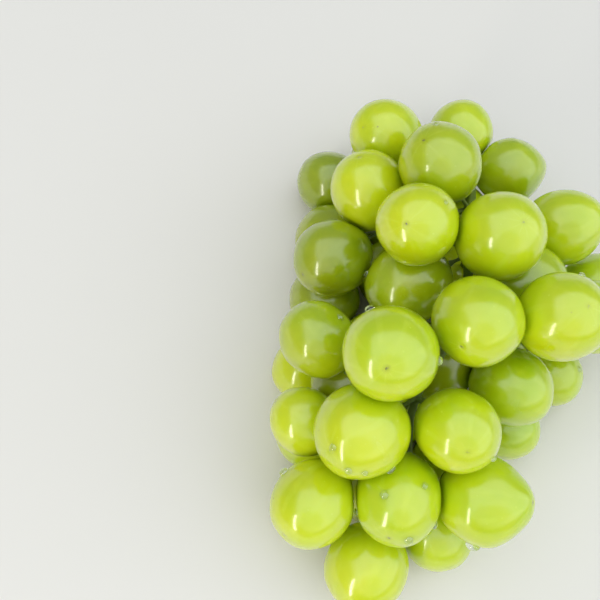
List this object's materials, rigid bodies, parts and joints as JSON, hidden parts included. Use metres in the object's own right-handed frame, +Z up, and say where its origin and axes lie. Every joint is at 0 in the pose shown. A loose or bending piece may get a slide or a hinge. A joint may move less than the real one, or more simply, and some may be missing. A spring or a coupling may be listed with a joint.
{
  "type": "bunch of grapes",
  "caption": "Cut bunch of round green table grapes lying on its side, berries pressed together around a branching stem.",
  "frame": {"origin": "middle of the lying bunch's footprint, on the surface it rests on", "axes": "+Z up, +Y along the main stem from the tip of the bunch towards its cut end"},
  "size_m": [0.1366, 0.2034, 0.0864],
  "materials": {
    "grape_skin": "glossy, translucent yellow-green fruit skin with a faint bloom",
    "stem": "green woody fruit stem, matt, brown at the cut end"
  },
  "bodies": {
    "root": {"stem": "stem", "berry_01": "grape_skin", "berry_02": "grape_skin", "berry_03": "grape_skin", "berry_04": "grape_skin", "berry_05": "grape_skin", "berry_06": "grape_skin", "berry_07": "grape_skin", "berry_08": "grape_skin", "berry_09": "grape_skin", "berry_10": "grape_skin", "berry_11": "grape_skin", "berry_12": "grape_skin", "berry_13": "grape_skin", "berry_14": "grape_skin", "berry_15": "grape_skin", "berry_16": "grape_skin", "berry_17": "grape_skin", "berry_18": "grape_skin", "berry_19": "grape_skin", "berry_20": "grape_skin", "berry_21": "grape_skin", "berry_22": "grape_skin", "berry_23": "grape_skin", "berry_24": "grape_skin", "berry_25": "grape_skin", "berry_26": "grape_skin", "berry_27": "grape_skin", "berry_28": "grape_skin", "berry_29": "grape_skin", "berry_30": "grape_skin", "berry_31": "grape_skin", "berry_32": "grape_skin", "berry_33": "grape_skin", "berry_34": "grape_skin", "berry_35": "grape_skin", "berry_36": "grape_skin", "berry_37": "grape_skin", "berry_38": "grape_skin", "berry_39": "grape_skin", "berry_40": "grape_skin", "berry_41": "grape_skin", "berry_42": "grape_skin", "berry_43": "grape_skin", "berry_44": "grape_skin", "berry_45": "grape_skin", "berry_46": "grape_skin", "berry_47": "grape_skin", "berry_48": "grape_skin", "berry_49": "grape_skin"}
  },
  "joints": []
}
